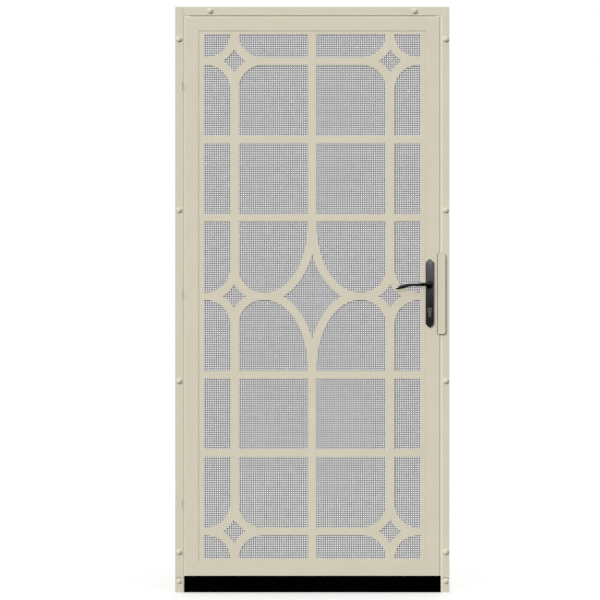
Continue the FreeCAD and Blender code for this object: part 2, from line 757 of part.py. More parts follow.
def make_lever(outside):
    """Lever with its neck, rose and collar, towards the hinge side."""
    away = -1 if outside else 1
    face = LEAF_FRONT - PLATE_THICKNESS if outside else LEAF_REAR + PLATE_THICKNESS
    base = face + away * COLLAR_CLEARANCE
    axis_y = base + away * LEVER_STANDOFF
    blade = Part.makeLoft([lever_section(*section, axis_y) for section in LEVER_SECTIONS], True)
    neck = rod_y(LOCK_X, LEVER_HEIGHT, NECK_RADIUS, sorted((base, axis_y)))
    elbow = Part.makeSphere(NECK_RADIUS, vector(LOCK_X, axis_y, LEVER_HEIGHT))
    rose = rod_y(LOCK_X, LEVER_HEIGHT, ROSE_RADIUS, sorted((base, base + away * ROSE_THICKNESS)))
    collar = rod_y(LOCK_X, LEVER_HEIGHT, COLLAR_RADIUS, sorted((base - away * COLLAR_DEPTH, base)))
    socket_end = base + away * SPINDLE_SOCKET
    half = SPINDLE / 2 + SPINDLE_CLEARANCE
    socket = block(
        (LOCK_X - half, LOCK_X + half),
        sorted((base - away * COLLAR_DEPTH, socket_end)),
        (LEVER_HEIGHT - half, LEVER_HEIGHT + half),
    )
    return blade.fuse([neck, elbow, rose, collar]).removeSplitter().cut(socket)


def make_spindle():
    front = LEAF_FRONT - PLATE_THICKNESS - COLLAR_CLEARANCE - SPINDLE_SOCKET
    rear = LEAF_REAR + PLATE_THICKNESS + COLLAR_CLEARANCE + SPINDLE_SOCKET
    half = SPINDLE / 2
    return block(
        (LOCK_X - half, LOCK_X + half),
        (front, rear),
        (LEVER_HEIGHT - half, LEVER_HEIGHT + half),
    )


def guard_piece(x, y, outer_corner):
    """Upright piece over the latch, rounded on the handle's side and on its outer side."""
    middle = LEVER_HEIGHT - GUARD_CENTRE_BELOW_LEVER
    low = middle - GUARD_TALL / 2
    high = middle + GUARD_TALL / 2
    corners = [(x[0], low), (x[1], low), (x[1], high), (x[0], high)]
    return plate(corners, y, [GUARD_INNER_CORNER, outer_corner, outer_corner, GUARD_INNER_CORNER])


def make_latch_guard():
    """Flat plate held off the lock stile, over the gap and the flange beside it."""
    left = LEAF_RIGHT - GUARD_LAP
    rear = LEAF_FRONT - GUARD_SPACER
    return guard_piece((left, left + GUARD_WIDTH), (rear - GUARD_SHEET, rear), GUARD_OUTER_CORNER)


def make_guard_spacer():
    """Rubber strip under the guard, which shows as a narrow edge beside it."""
    left = LEAF_RIGHT - GUARD_LAP - SPACER_SHOWS
    return guard_piece((left, LEAF_RIGHT - TUBE_CORNER), (LEAF_FRONT - GUARD_SPACER, LEAF_FRONT), 0)


def bolt_openings(low_x, high_x):
    """Holes for the two bolts through the frame's edge."""
    holes = []
    for tall, height in ((LATCH_HEIGHT, LEVER_HEIGHT - LATCH_DROP), (DEAD_BOLT_HEIGHT, KEY_HEIGHT)):
        half_width = LATCH_WIDTH / 2 + STRIKE_MARGIN
        half_tall = tall / 2 + STRIKE_MARGIN
        y_span = (LOCK_Y - half_width, LOCK_Y + half_width)
        holes.append(block((low_x, high_x), y_span, (height - half_tall, height + half_tall)))
    return holes


def make_strike_plate():
    half_tall = FACEPLATE_HEIGHT / 2
    body = block(
        (REVEAL_RIGHT - STRIKE_SHEET, REVEAL_RIGHT),
        (LOCK_Y - STRIKE_WIDTH / 2, LOCK_Y + STRIKE_WIDTH / 2),
        (PLATE_HEIGHT - half_tall, PLATE_HEIGHT + half_tall),
    )
    return body.cut(bolt_openings(REVEAL_RIGHT - STRIKE_SHEET, REVEAL_RIGHT))


def make_lock_jamb():
    return mirrored(make_jamb()).cut(bolt_openings(REVEAL_RIGHT, REVEAL_RIGHT + FRAME_SHEET))


def make_expander():
    """Black channel under the bottom rail, open downwards."""
    depth = (LEAF_FRONT + EXPANDER_INSET, LEAF_REAR - EXPANDER_INSET)
    outside = block(EXPANDER_SPAN, depth, (EXPANDER_BOTTOM, LEAF_BOTTOM))
    inside = block(
        EXPANDER_SPAN,
        (depth[0] + EXPANDER_SHEET, depth[1] - EXPANDER_SHEET),
        (EXPANDER_BOTTOM, LEAF_BOTTOM - EXPANDER_SHEET),
    )
    return outside.cut(inside)


def make_sweep():
    """Rubber strip in the channel, with a lip under each wall of the channel."""
    wall = (LEAF_FRONT + EXPANDER_INSET, LEAF_REAR - EXPANDER_INSET)
    inner = EXPANDER_SHEET + SWEEP_CLEARANCE
    stem_y = (wall[0] + inner, wall[1] - inner)
    stem = block(EXPANDER_SPAN, stem_y, (SWEEP_LIP_TOP - SWEEP_LIP, SWEEP_TOP))
    base = block(EXPANDER_SPAN, wall, (SWEEP_BOTTOM, EXPANDER_BOTTOM - SWEEP_CLEARANCE))
    groove_y = (wall[0] + SWEEP_LIP, wall[1] - SWEEP_LIP)
    groove = block(EXPANDER_SPAN, groove_y, (SWEEP_BOTTOM, SWEEP_LIP_TOP - SWEEP_LIP))
    return stem.fuse(base).removeSplitter().cut(groove)


def frame_pieces():
    pieces = {
        "hinge_jamb": make_jamb(),
        "lock_jamb": make_lock_jamb(),
        "header": make_header(),
        "hinge_jamb_extension": make_jamb_extension(),
        "lock_jamb_extension": mirrored(make_jamb_extension()),
        "strike_plate": make_strike_plate(),
    }
    for place, height in HINGE_HEIGHTS.items():
        pieces["hinge_arm_" + place] = make_hinge_arm(height)
    return pieces


def leaf_pieces():
    pieces = {
        "hinge_stile": make_hinge_stile(),
        "lock_stile": make_lock_stile(),
        "top_rail": tube("top", LEAF, TUBE_WIDTH),
        "bottom_rail": tube("bottom", LEAF, TUBE_WIDTH),
        "decorative_grille": make_grille(),
        "screen_mesh": make_mesh(),
        "mesh_retainer_hinge": make_retainer("left"),
        "mesh_retainer_lock": make_retainer("right"),
        "mesh_retainer_top": make_retainer("top"),
        "mesh_retainer_bottom": make_retainer("bottom"),
        "latch_guard": make_latch_guard(),
        "guard_spacer": make_guard_spacer(),
        "escutcheon_outside": make_escutcheon(True),
        "escutcheon_inside": make_escutcheon(False),
        "lock_case": make_lock_case(),
        "lock_faceplate": make_faceplate(),
        "latch_bolt": make_latch_bolt(),
        "dead_bolt": make_dead_bolt(),
        "key_cylinder": make_key_cylinder(),
        "bottom_expander": make_expander(),
        "door_sweep": make_sweep(),
    }
    for place, height in HINGE_HEIGHTS.items():
        pieces["hinge_clevis_" + place] = make_hinge_clevis(height)
        pieces["hinge_pin_" + place] = make_hinge_pin(height)
    return pieces


def lever_pieces():
    return {
        "lever_outside": make_lever(True),
        "lever_inside": make_lever(False),
        "spindle": make_spindle(),
    }


def main():
    os.makedirs("parts", exist_ok=True)
    pieces = {**frame_pieces(), **leaf_pieces(), **lever_pieces()}
    for name, shape in pieces.items():
        shape.exportStep(os.path.join("parts", name + ".step"))
        print(name, "solids", len(shape.Solids), "volume", round(shape.Volume), "valid", shape.isValid())


if __name__ == "__main__":
    main()
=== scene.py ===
"""Looks of the steel security screen door: finishes, woven mesh, seals, screws, studio light and camera.

Metres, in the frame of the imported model: +Z up, front towards -Y.
"""
import bmesh
import bpy
import json
import math
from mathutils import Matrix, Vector


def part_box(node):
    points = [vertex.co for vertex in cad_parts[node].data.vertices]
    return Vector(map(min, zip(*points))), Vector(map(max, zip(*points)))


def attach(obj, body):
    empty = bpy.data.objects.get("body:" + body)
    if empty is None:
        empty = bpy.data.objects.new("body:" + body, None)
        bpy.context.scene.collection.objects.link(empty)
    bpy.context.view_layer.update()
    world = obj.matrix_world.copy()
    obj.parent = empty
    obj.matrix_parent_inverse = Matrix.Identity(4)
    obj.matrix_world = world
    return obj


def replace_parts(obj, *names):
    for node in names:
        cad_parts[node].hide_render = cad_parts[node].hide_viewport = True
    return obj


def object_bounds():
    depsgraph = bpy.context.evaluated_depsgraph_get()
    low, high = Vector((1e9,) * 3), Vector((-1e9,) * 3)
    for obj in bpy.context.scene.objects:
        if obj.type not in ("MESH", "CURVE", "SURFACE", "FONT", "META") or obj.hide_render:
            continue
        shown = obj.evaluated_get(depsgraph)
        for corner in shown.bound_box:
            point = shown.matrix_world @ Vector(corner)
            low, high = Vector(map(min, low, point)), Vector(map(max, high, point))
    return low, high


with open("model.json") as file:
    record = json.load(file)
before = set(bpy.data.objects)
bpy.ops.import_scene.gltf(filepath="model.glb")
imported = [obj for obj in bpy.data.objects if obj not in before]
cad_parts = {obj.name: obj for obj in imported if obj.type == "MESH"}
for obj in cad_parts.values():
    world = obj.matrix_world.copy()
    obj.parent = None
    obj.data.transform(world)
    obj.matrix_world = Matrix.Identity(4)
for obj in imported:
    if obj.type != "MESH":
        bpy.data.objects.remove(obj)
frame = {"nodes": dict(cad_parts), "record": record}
CAD_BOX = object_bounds()
NODES = frame["nodes"]
RECORD = frame["record"]
MM = 0.001
FRONT = Vector((0.0, -1.0, 0.0))
LOCK_SIDE = Vector((1.0, 0.0, 0.0))
UP = Vector((0.0, 0.0, 1.0))
DOWN = Vector((0.0, 0.0, -1.0))

# The photograph: the width it covers at the door's front, and the point at its middle
PHOTO_SPAN = 2.1114
PHOTO_MIDDLE_X = 0.4259
PHOTO_MIDDLE_Z = 1.0293

# Camera: its distance from the front of the door, and the width of its sensor in millimetres
CAMERA_DISTANCE = 6.0
SENSOR = 36.0

# Studio lights, with where each comes from, its strength and its softness: the key light from the upper
# left, the fill light from the front, and one from behind for the inside of the door
KEY_FROM = Vector((-0.6, -0.7, 0.44))
KEY_STRENGTH = 2.07
KEY_SOFTNESS = math.radians(9)
FILL_FROM = Vector((-0.05, -0.97, 0.22))
FILL_STRENGTH = 0.83
FILL_SOFTNESS = math.radians(10)
BACK_FROM = Vector((0.35, 0.8, 0.45))
BACK_STRENGTH = 1.7
BACK_SOFTNESS = math.radians(25)

# Sky, whose light grows with height: pairs of the height of a direction and the strength there
SKY = ((-0.3, 0.03), (0.05, 0.17), (0.6, 0.8))

# Soft box overhead, which shows only in the reflections of the handle
BOX_PLACE = Vector((0.45, -1.5, 3.2))
BOX_SIZE = (2.4, 2.4)
BOX_POWER = 52.0

# Floor: how far it reaches each way, its colour and roughness, and a glow that keeps it white
FLOOR_REACH = 4.0
FLOOR = (0.85, 0.85, 0.85)
FLOOR_ROUGHNESS = 0.9
FLOOR_GLOW = 0.43
WHITE = (1.0, 1.0, 1.0, 1.0)

# Woven mesh: spacing of the wires, their width, and how far they stay from the edge of the sheet
WIRE_PITCH_X = 7.68 * MM
WIRE_PITCH_Z = 7.72 * MM
WIRE_WIDTH = 3.8 * MM
WIRE_MARGIN = 5.0 * MM

# Gap round the leaf, and how much of the frame's bend the seals in it cover
EDGE_GAP = 6.6 * MM
BEND_COVER = 2.4 * MM

# How far the seals stand out from the leaf and, past the bend, from the frame
LEAF_SEAL_SIDE = 3.95 * MM
LEAF_SEAL_TOP = 2.5 * MM
FRAME_SEAL_HINGE = 2.2 * MM
FRAME_SEAL_LOCK = 6.0 * MM
FRAME_SEAL_FOOT = 4.2 * MM
FRAME_SEAL_TOP = 2.7 * MM

# Depth of the seals, how far the leaf's lie behind its front, and the room at a piece that breaks them
SEAL_DEEP = 6.0 * MM
SEAL_BEHIND_FRONT = 1.0 * MM
SEAL_BREAK = 2.0 * MM

# Section of a seal: shares of how far it stands out and of its depth
SEAL_SECTION = ((0, 0), (0.5, 0), (0.8, 0.1), (1, 0.36), (1, 0.7), (0.8, 0.92), (0.5, 1), (0, 1))

# Pads at the leaf's upper corners: length and height
SEAL_PAD = 17.0 * MM
SEAL_PAD_TALL = 4.0 * MM

# Thin flaps in front of the hinges: how far they stand out, and their depth
HINGE_FLAP = 4.6 * MM
HINGE_FLAP_DEEP = 0.45 * MM

# Bead that squares the lower edge of the leaf: its height and depth, and how far it lies above the edge and
# behind the front
RAIL_BEAD = 1.5 * MM
RAIL_BEAD_DEEP = 2.0 * MM
RAIL_BEAD_UP = 0.7 * MM
RAIL_BEAD_BACK = 0.05 * MM

# Rubber at the ends of the bottom expander: how far it stands out at each end and in front
SWEEP_END_HINGE = 3.4 * MM
SWEEP_END_LOCK = 2.9 * MM
SWEEP_END_PROUD = 1.0 * MM

# Dark seam above each foot: radius of its arch, the share of it from the screw to the flange's bend, width,
# how far it stands out, steps along the arch, and its section as shares of half its width and of its height
SEAM_RADIUS = 15.2 * MM
SEAM_BEND = 0.7
SEAM_WIDTH = 1.8 * MM
SEAM_PROUD = 0.3 * MM
SEAM_STEPS = 24
SEAM_SECTION = ((-1, 0), (-0.6, 1), (0.6, 1), (1, 0))

# Weld beads along the mitres: width, height, how far they stay clear of the tubes' corners, and their
# section as shares of half their width and of their height
WELD_WIDTH = 4.0 * MM
WELD_PROUD = 0.5 * MM
WELD_INSET = 3.5 * MM
WELD_SECTION = ((-1, 0), (-0.6, 0.8), (0, 1), (0.6, 0.8), (1, 0))

# Screw heads: radius, height, radius and depth of the recess
WALL_SCREW = (9.0 * MM, 7.0 * MM, 2.0 * MM, 0.8 * MM)
FOOT_SCREW = (7.0 * MM, 6.4 * MM, 1.6 * MM, 0.6 * MM)
PLATE_SCREW = (3.6 * MM, 0.8 * MM, 1.2 * MM, 0.6 * MM)
RETAINER_SCREW = (3.0 * MM, 1.8 * MM, 1.0 * MM, 0.6 * MM)

# Sides of a screw head, and the angles of the points on its rounded side, in degrees
SCREW_SIDES = 32
SCREW_DOME = (0, 10, 25, 45, 65, 80)

# How far the screws stand from the ends of the lock's plates, how far apart they are along the mesh
# retainers, and the thickness of the retainers under them
LOCK_SCREW_INSET = 9.0 * MM
PLATE_SCREW_INSET = 24.0 * MM
RETAINER_SPACING = 0.22
RETAINER_SHEET = 1.2 * MM

# Gasket that shows round the latch guard: how far it stands out, its thickness, the radii of its corners
# towards the leaf and towards the wall, and the steps round a corner
GASKET_SHOWS = 0.9 * MM
GASKET_THICK = 0.8 * MM
GASKET_CORNERS = (3.9 * MM, 9.9 * MM)
GASKET_STEPS = 8

# Casting of the levers: the grid that rounds their edges, and the strength and passes of the smoothing
CAST_GRID = 0.6 * MM
CAST_SMOOTHING = 0.5
CAST_PASSES = 8

# Where the painted shade of a lever's neck gives way to the painted sheen of its grip, from the axis of the
# neck
LEVER_SHEEN_FROM = 15.0 * MM
LEVER_SHEEN_TO = 65.0 * MM

# Handle plates: the fall that their shading shows up to the upper end, though their faces are flat, and the
# share of their height below it that shows none
PLATE_LEAN = 25.0 * MM
PLATE_PLAIN = 0.3

# Linear colours of the finishes, dark and light end of their variation
ALMOND = ((0.625, 0.585, 0.464), (0.65, 0.61, 0.486))
BRONZE = ((0.102, 0.102, 0.11), (0.142, 0.142, 0.154))
# Lever: the dark end is painted shade on the neck, the light end a painted sheen on the grip
LEVER_SHADE_TO_SHEEN = ((0.018, 0.018, 0.018), (0.22, 0.22, 0.228))
# Key cylinder: a lighter copy of the bronze, which is a painted highlight on it
KEY_CYLINDER_HIGHLIGHT = ((0.38, 0.375, 0.38), (0.5, 0.495, 0.5))
BLACK = ((0.0002, 0.0002, 0.0002), (0.0005, 0.0005, 0.0005))
RUBBER = ((0.0003, 0.0003, 0.0003), (0.0006, 0.0006, 0.0006))
STEEL = ((0.42, 0.42, 0.43), (0.55, 0.55, 0.56))
WIRE = ((0.357, 0.357, 0.363), (0.449, 0.449, 0.457))
SEAL = ((0.67, 0.63, 0.505), (0.73, 0.69, 0.555))
SCREW = ((0.64, 0.605, 0.49), (0.69, 0.655, 0.54))
SEAM = ((0.1, 0.095, 0.075), (0.16, 0.15, 0.12))

# Levels of a pattern at which a finish reaches its dark and its light colour
TONE_ENDS = (0.3, 0.7)

# Stretch of a pattern that runs in lines along the width, or along the height
LINES_ALONG_WIDTH = (0.01, 1.0, 1.0)
LINES_ALONG_HEIGHT = (1.0, 1.0, 0.03)

# Samples of the softened edges, and the angle between faces from which an edge of a piece is sharp
EDGE_SAMPLES = 4
SHARP_ANGLE = math.radians(50)


# Materials

def new_material(name):
    """New material with its node tree and shader."""
    material = bpy.data.materials.new(name)
    material.use_nodes = True
    tree = material.node_tree
    return material, tree, tree.nodes["Principled BSDF"]


def noise(tree, scale, detail, stretch=(1.0, 1.0, 1.0)):
    """Noise in the piece's own coordinates, with about that many features a metre."""
    coordinates = tree.nodes.new("ShaderNodeTexCoord")
    mapping = tree.nodes.new("ShaderNodeMapping")
    mapping.inputs["Scale"].default_value = stretch
    texture = tree.nodes.new("ShaderNodeTexNoise")
    texture.inputs["Scale"].default_value = scale
    texture.inputs["Detail"].default_value = detail
    tree.links.new(coordinates.outputs["Object"], mapping.inputs["Vector"])
    tree.links.new(mapping.outputs["Vector"], texture.inputs["Vector"])
    return texture.outputs["Fac"]


def vary_colour(tree, shader, colours, factor):
    """Colour that goes from the dark one to the light one as the factor rises."""
    ramp = tree.nodes.new("ShaderNodeValToRGB")
    for element, position, colour in zip(ramp.color_ramp.elements, TONE_ENDS, colours):
        element.position = position
        element.color = (*colour, 1.0)
    tree.links.new(factor, ramp.inputs["Fac"])
    tree.links.new(ramp.outputs["Color"], shader.inputs["Base Color"])


def vary_roughness(tree, shader, low, high, factor):
    """Roughness that goes from low to high as the factor rises."""
    spread = tree.nodes.new("ShaderNodeMapRange")
    spread.inputs["To Min"].default_value = low
    spread.inputs["To Max"].default_value = high
    tree.links.new(factor, spread.inputs["Value"])
    tree.links.new(spread.outputs["Result"], shader.inputs["Roughness"])


def relief(tree, shader, height, depth, strength, edge):
    """Fine relief of a surface, with its edges softened to a small radius."""
    soft = tree.nodes.new("ShaderNodeBevel")
    soft.samples = EDGE_SAMPLES
    soft.inputs["Radius"].default_value = edge
    bump = tree.nodes.new("ShaderNodeBump")
    bump.inputs["Strength"].default_value = strength
    bump.inputs["Distance"].default_value = depth
    tree.links.new(height, bump.inputs["Height"])
    tree.links.new(soft.outputs["Normal"], bump.inputs["Normal"])
    tree.links.new(bump.outputs["Normal"], shader.inputs["Normal"])


def lean_shading(tree, shader, low, high, fall):
    """Shade a flat face as if it fell back between two heights, more steeply towards the upper one."""
    length = high - low
    coordinates = tree.nodes.new("ShaderNodeTexCoord")
    mapping = tree.nodes.new("ShaderNodeMapping")
    mapping.inputs["Location"].default_value = (-low / length, 0.0, 0.0)
    mapping.inputs["Rotation"].default_value = (0.0, math.pi / 2, 0.0)
    mapping.inputs["Scale"].default_value = (1 / length, 1 / length, 1 / length)
    slope = tree.nodes.new("ShaderNodeTexGradient")
    slope.gradient_type = "QUADRATIC"
    bump = tree.nodes.new("ShaderNodeBump")
    bump.invert = True
    bump.inputs["Distance"].default_value = fall
    tree.links.new(coordinates.outputs["Object"], mapping.inputs["Vector"])
    tree.links.new(mapping.outputs["Vector"], slope.inputs["Vector"])
    tree.links.new(slope.outputs["Fac"], bump.inputs["Height"])
    tree.links.new(shader.inputs["Normal"].links[0].from_socket, bump.inputs["Normal"])
    tree.links.new(bump.outputs["Normal"], shader.inputs["Normal"])


def make_almond():
    """Powder coat: clouds of tone too faint to see one by one, and a fine orange peel."""
    material, tree, shader = new_material("almond_powder_coat")
    vary_colour(tree, shader, ALMOND, noise(tree, scale=9.0, detail=3.0))
    vary_roughness(tree, shader, low=0.4, high=0.52, factor=noise(tree, scale=40.0, detail=2.0))
    peel = noise(tree, scale=650.0, detail=1.0)
    relief(tree, shader, peel, depth=0.12 * MM, strength=0.25, edge=0.5 * MM)
    shader.inputs["Specular IOR Level"].default_value = 0.4
    return material


def mottle(tree):
    """Small clouds of tone."""
    return noise(tree, scale=60.0, detail=4.0)


def lever_shade_to_sheen(tree):
    """Painted shade and sheen: tone that rises from a lever's neck, darkened as painted shade, to its grip,
    lightened as a painted sheen.
    """
    low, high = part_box("spindle")
    axis = (low.x + high.x) / 2
    coordinates = tree.nodes.new("ShaderNodeTexCoord")
    split = tree.nodes.new("ShaderNodeSeparateXYZ")
    sheen = tree.nodes.new("ShaderNodeMapRange")
    sheen.inputs["From Min"].default_value = axis - LEVER_SHEEN_FROM
    sheen.inputs["From Max"].default_value = axis - LEVER_SHEEN_TO
    tree.links.new(coordinates.outputs["Object"], split.inputs["Vector"])
    tree.links.new(split.outputs["X"], sheen.inputs["Value"])
    return sheen.outputs["Result"]


def make_bronze(name, colours, edge, tone=mottle):
    """Dark satin finish of the handle, with its own tone and edges of the given radius."""
    material, tree, shader = new_material(name)
    vary_colour(tree, shader, colours, tone(tree))
    vary_roughness(tree, shader, low=0.2, high=0.27, factor=noise(tree, scale=120.0, detail=3.0))
    relief(tree, shader, noise(tree, scale=900.0, detail=1.0), depth=0.05 * MM, strength=0.2, edge=edge)
    shader.inputs["Metallic"].default_value = 1.0
    return material


def make_plate_bronze():
    """The same finish on the handle plates, whose shading leans back towards the upper end."""
    material = make_bronze("bronze_plate", BRONZE, edge=0.8 * MM)
    tree = material.node_tree
    low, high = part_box("escutcheon_outside")
    start = low.z + PLATE_PLAIN * (high.z - low.z)
    lean_shading(tree, tree.nodes["Principled BSDF"], start, high.z, PLATE_LEAN)
    return material


def make_black_paint():
    """Matt black paint, with a fine grain."""
    material, tree, shader = new_material("black_paint")
    vary_colour(tree, shader, BLACK, noise(tree, scale=20.0, detail=2.0))
    vary_roughness(tree, shader, low=0.5, high=0.65, factor=noise(tree, scale=60.0, detail=2.0))
    grain = noise(tree, scale=700.0, detail=1.0)
    relief(tree, shader, grain, depth=0.08 * MM, strength=0.2, edge=0.5 * MM)
    shader.inputs["Specular IOR Level"].default_value = 0.0
    return material


def make_rubber():
    """Extruded rubber, with faint lines along its length."""
    material, tree, shader = new_material("black_rubber")
    vary_colour(tree, shader, RUBBER, noise(tree, scale=30.0, detail=2.0))
    vary_roughness(tree, shader, low=0.65, high=0.8, factor=noise(tree, scale=80.0, detail=2.0))
    lines = noise(tree, scale=900.0, detail=1.0, stretch=LINES_ALONG_WIDTH)
    relief(tree, shader, lines, depth=0.1 * MM, strength=0.4, edge=0.5 * MM)
    shader.inputs["Specular IOR Level"].default_value = 0.0
    return material


def make_steel():
    """Plain satin steel, brushed along the height."""
    material, tree, shader = new_material("lock_steel")
    vary_colour(tree, shader, STEEL, noise(tree, scale=800.0, detail=2.0, stretch=LINES_ALONG_HEIGHT))
    brushing = noise(tree, scale=900.0, detail=2.0, stretch=LINES_ALONG_HEIGHT)
    vary_roughness(tree, shader, low=0.28, high=0.42, factor=brushing)
    lines = noise(tree, scale=1500.0, detail=1.0, stretch=LINES_ALONG_HEIGHT)
    relief(tree, shader, lines, depth=0.03 * MM, strength=0.3, edge=0.3 * MM)
    shader.inputs["Metallic"].default_value = 1.0
    return material


def make_wire():
    """Dull grey steel wire."""
    material, tree, shader = new_material("mesh_steel")
    vary_colour(tree, shader, WIRE, noise(tree, scale=50.0, detail=3.0))
    vary_roughness(tree, shader, low=0.45, high=0.6, factor=noise(tree, scale=300.0, detail=2.0))
    shader.inputs["Metallic"].default_value = 0.3
    return material


def make_plain(name, colours, low, high):
    """Finish of a small piece, with a little variation between two roughnesses."""
    material, tree, shader = new_material(name)
    vary_colour(tree, shader, colours, noise(tree, scale=200.0, detail=3.0))
    vary_roughness(tree, shader, low, high, noise(tree, scale=400.0, detail=2.0))
    return material


MATERIALS = {
    "almond_powder_coat": make_almond(),
    "bronze": make_bronze("bronze", BRONZE, edge=1.6 * MM),
    # Lighter copy of the bronze for the key cylinder: a painted highlight
    "bronze_painted_highlight": make_bronze("bronze_painted_highlight", KEY_CYLINDER_HIGHLIGHT, edge=1.2 * MM),
    "bronze_plate": make_plate_bronze(),
    # The lever's finish paints shade on its neck and a sheen on its grip
    "bronze_lever": make_bronze("bronze_lever", LEVER_SHADE_TO_SHEEN, edge=1.6 * MM, tone=lever_shade_to_sheen),
    "black_paint": make_black_paint(),
    "black_rubber": make_rubber(),
    "lock_steel": make_steel(),
    "mesh_steel": make_wire(),
    "edge_seal": make_plain("edge_seal", SEAL, low=0.75, high=0.9),
    "screw_paint": make_plain("screw_paint", SCREW, low=0.22, high=0.32),
    "foot_seam": make_plain("foot_seam", SEAM, low=0.7, high=0.85),
}
FINISH_OF = {
    "escutcheon_outside": "bronze_plate",
    "escutcheon_inside": "bronze_plate",
    # The key cylinder takes the lighter bronze, a painted highlight
    "key_cylinder": "bronze_painted_highlight",
    "lever_outside": "bronze_lever",
    "lever_inside": "bronze_lever",
}


def finish_nodes():
    """The record's slot of each CAD node says which finish it gets, apart from a few with their own."""
    for row in RECORD["subparts"]:
        finish = FINISH_OF.get(row["node"], row["material_slot"])
        mesh = NODES[row["node"]].data
        mesh.materials.clear()
        mesh.materials.append(MATERIALS[finish])


# Making of pieces

def add_piece(name, mesh, slot, body, finish=None):
    """Add a piece to a body, in the finish of its slot or in one of its own."""
    mesh.materials.append(MATERIALS[finish or slot])
    piece = bpy.data.objects.new(name, mesh)
    bpy.context.scene.collection.objects.link(piece)
    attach(piece, body)
    return piece


def mesh_from(shape, name):
    """Mesh of a finished shape, smooth apart from its sharp edges."""
    bmesh.ops.recalc_face_normals(shape, faces=shape.faces)
    mesh = bpy.data.meshes.new(name)
    shape.to_mesh(mesh)
    shape.free()
    mesh.polygons.foreach_set("use_smooth", [True] * len(mesh.polygons))
    mesh.set_sharp_from_angle(angle=SHARP_ANGLE)
    return mesh


def join_rings(shape, one, other):
    """Faces between two rings with as many points."""
    count = len(one)
    for i in range(count):
        following = (i + 1) % count
        shape.faces.new((one[i], one[following], other[following], other[i]))


def nodes_named(start):
    """Names of the CAD nodes that begin with the same words."""
    return [node for node in NODES if node.startswith(start)]


# Woven mesh

def wire_places(low, high, pitch):
    """Evenly spaced wires, as many as fit, in the middle of the span."""
    count = int((high - low) / pitch) + 1
    start = (low + high - (count - 1) * pitch) / 2
    return [start + i * pitch for i in range(count)]


def wire_faces(wires, rings, sides):
    """Faces of closed wires whose points follow ring by ring, wire by wire."""
    faces = []
    for wire in range(wires):
        first = wire * rings * sides
        last = first + (rings - 1) * sides
        faces.append(tuple(reversed(range(first, first + sides))))
        for ring in range(first, last, sides):
            for i in range(sides):
                following = (i + 1) % sides
                faces.append((ring + i, ring + following, ring + sides + following, ring + sides + i))
        faces.append(tuple(range(last, last + sides)))
    return faces


def woven_wires(name, places, crossings, upright):
    """One direction of the weave: each wire passes in front of and behind the ones it crosses by turns."""
    low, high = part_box("screen_mesh")
    middle = (low.y + high.y) / 2
    wire_thick = (high.y - low.y) / 2
    half_thick = wire_thick / 2
    half_width = WIRE_WIDTH / 2
    ring = [(-half_width, 0.0), (0.0, -half_thick), (half_width, 0.0), (0.0, half_thick)]
    if not upright:
        ring.reverse()
    vertices = []
    for i, place in enumerate(places):
        for j, crossing in enumerate(crossings):
            in_front = (i + j) % 2 == (0 if upright else 1)
            depth = middle - half_thick if in_front else middle + half_thick
            for across, out in ring:
                if upright:
                    vertices.append((place + across, depth + out, crossing))
                else:
                    vertices.append((crossing, depth + out, place + across))
    mesh = bpy.data.meshes.new(name)
    mesh.from_pydata(vertices, [], wire_faces(len(places), len(crossings), len(ring)))
    mesh.polygons.foreach_set("use_smooth", [True] * len(mesh.polygons))
    return add_piece(name, mesh, "mesh_steel", "leaf")


def make_woven_mesh():
    """Wires both ways, in place of the plain sheet."""
    low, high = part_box("screen_mesh")
    columns = wire_places(low.x + WIRE_MARGIN, high.x - WIRE_MARGIN, WIRE_PITCH_X)
    rows = wire_places(low.z + WIRE_MARGIN, high.z - WIRE_MARGIN, WIRE_PITCH_Z)
    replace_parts(woven_wires("mesh_wires_upright", columns, rows, True), "screen_mesh")
    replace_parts(woven_wires("mesh_wires_across", rows, columns, False), "screen_mesh")


# Seals

def add_strip(shape, start, along, out, reach, deep=SEAL_DEEP):
    """Length of seal: out is the way it stands out from the edge that holds it, and reach how far."""
    ends = []
    for end in (start, start + along):
        points = [end + out * (side * reach) - FRONT * (back * deep) for side, back in SEAL_SECTION]
        ends.append([shape.verts.new(point) for point in points])
    join_rings(shape, *ends)
    for end in ends:
        shape.faces.new(end)


def add_upright(shape, x, front, run, side, reach, deep=SEAL_DEEP):
    """Upright length of seal between two heights, standing out to one side."""
    low, high = run
    add_strip(shape, Vector((x, front, low)), UP * (high - low), LOCK_SIDE * side, reach, deep)


def break_at(node):
    """Length of an upright edge that a piece takes up, with a little room at its ends."""
    low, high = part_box(node)
    return (low.z - SEAL_BREAK, high.z + SEAL_BREAK)


def clear_runs(low, high, nodes):
    """Lengths of an upright edge that are free of the given pieces."""
    runs = []
    for bottom, top in sorted(break_at(node) for node in nodes):
        runs.append((low, bottom))
        low = top
    return runs + [(low, high)]


def add_hinge_side_seal(shape):
    """Seal up the hinge side of the leaf, with a thin flap in its place at each hinge."""
    low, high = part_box("hinge_stile")
    front = low.y + SEAL_BEHIND_FRONT
    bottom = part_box("door_sweep")[0].z
    hinges = nodes_named("hinge_clevis")
    for run in clear_runs(bottom, high.z + SEAL_PAD_TALL, hinges):
        add_upright(shape, low.x, front, run, -1, LEAF_SEAL_SIDE)
    for hinge in hinges:
        add_upright(shape, low.x, low.y, break_at(hinge), -1, HINGE_FLAP, HINGE_FLAP_DEEP)


